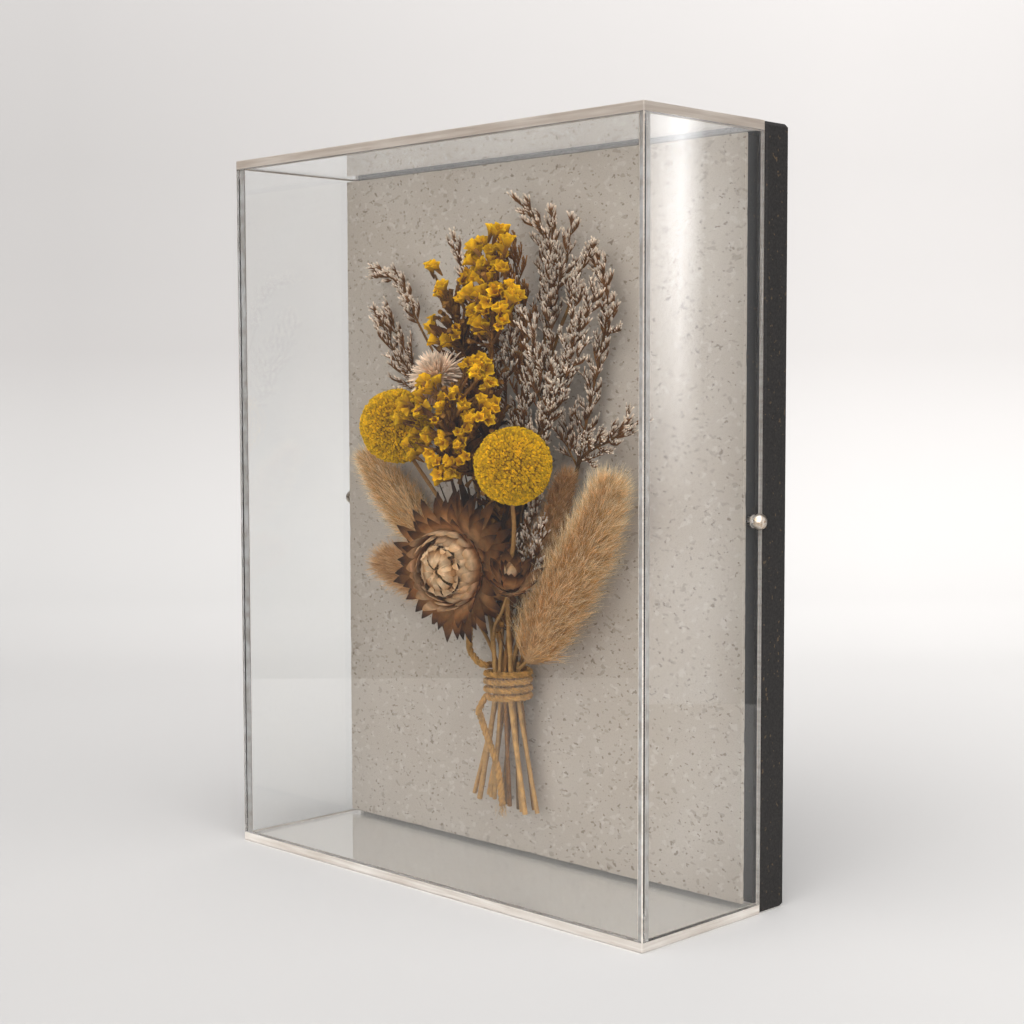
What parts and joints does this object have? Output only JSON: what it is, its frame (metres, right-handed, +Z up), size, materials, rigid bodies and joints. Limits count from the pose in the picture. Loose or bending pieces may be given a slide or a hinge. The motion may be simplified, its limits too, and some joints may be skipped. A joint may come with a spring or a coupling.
{
  "type": "dried flower bouquet in a clear box frame",
  "caption": "Dried flower bouquet tied with jute on a thin stone plaque, closed in by a clear acrylic box cover screwed onto a black back board.",
  "frame": {"origin": "under the middle of the frame, on the surface that it stands on", "axes": "+Z up the frame, +X to the right seen from the front, -Y out of the clear front"},
  "size_m": [0.201, 0.0702, 0.25],
  "materials": {
    "clear_acrylic": "clear, polished",
    "black_board": "matte black",
    "stone": "honed, warm grey with fine flecks",
    "screw_metal": "nickel-coloured, worn",
    "billy_button_yellow": "dry, grainy",
    "statice_yellow": "dry, papery",
    "brown_bract": "dry, papery",
    "pale_petal": "dry, papery",
    "bunny_tail": "soft, hairy",
    "sea_lavender": "dry, twiggy",
    "jute": "twisted fibre"
  },
  "bodies": {
    "root": {"top_pane": "clear_acrylic", "bottom_pane": "clear_acrylic", "front_pane": "clear_acrylic", "left_pane": "clear_acrylic", "right_pane": "clear_acrylic", "back_board": "black_board", "mounting_block": "black_board", "stone_plaque": "stone", "screw_left": "screw_metal", "screw_right": "screw_metal", "billy_button_front": "billy_button_yellow", "billy_button_left": "billy_button_yellow", "statice_top": "statice_yellow", "statice_left": "statice_yellow", "statice_front": "statice_yellow", "strawflower": "brown_bract", "strawflower_bud": "brown_bract", "everlasting_pale": "pale_petal", "bunny_tail_right": "bunny_tail", "bunny_tail_shaded": "bunny_tail", "bunny_tail_left": "bunny_tail", "bunny_tail_low_left": "bunny_tail", "sea_lavender_left": "sea_lavender", "sea_lavender_left_low": "sea_lavender", "sea_lavender_inner": "sea_lavender", "sea_lavender_back": "sea_lavender", "sea_lavender_back_left": "sea_lavender", "sea_lavender_brown": "sea_lavender", "sea_lavender_right": "sea_lavender", "sea_lavender_right_low": "sea_lavender", "sea_lavender_middle": "sea_lavender", "sea_lavender_twig": "sea_lavender", "sea_lavender_front": "sea_lavender", "jute_twine": "jute"}
  },
  "joints": []
}
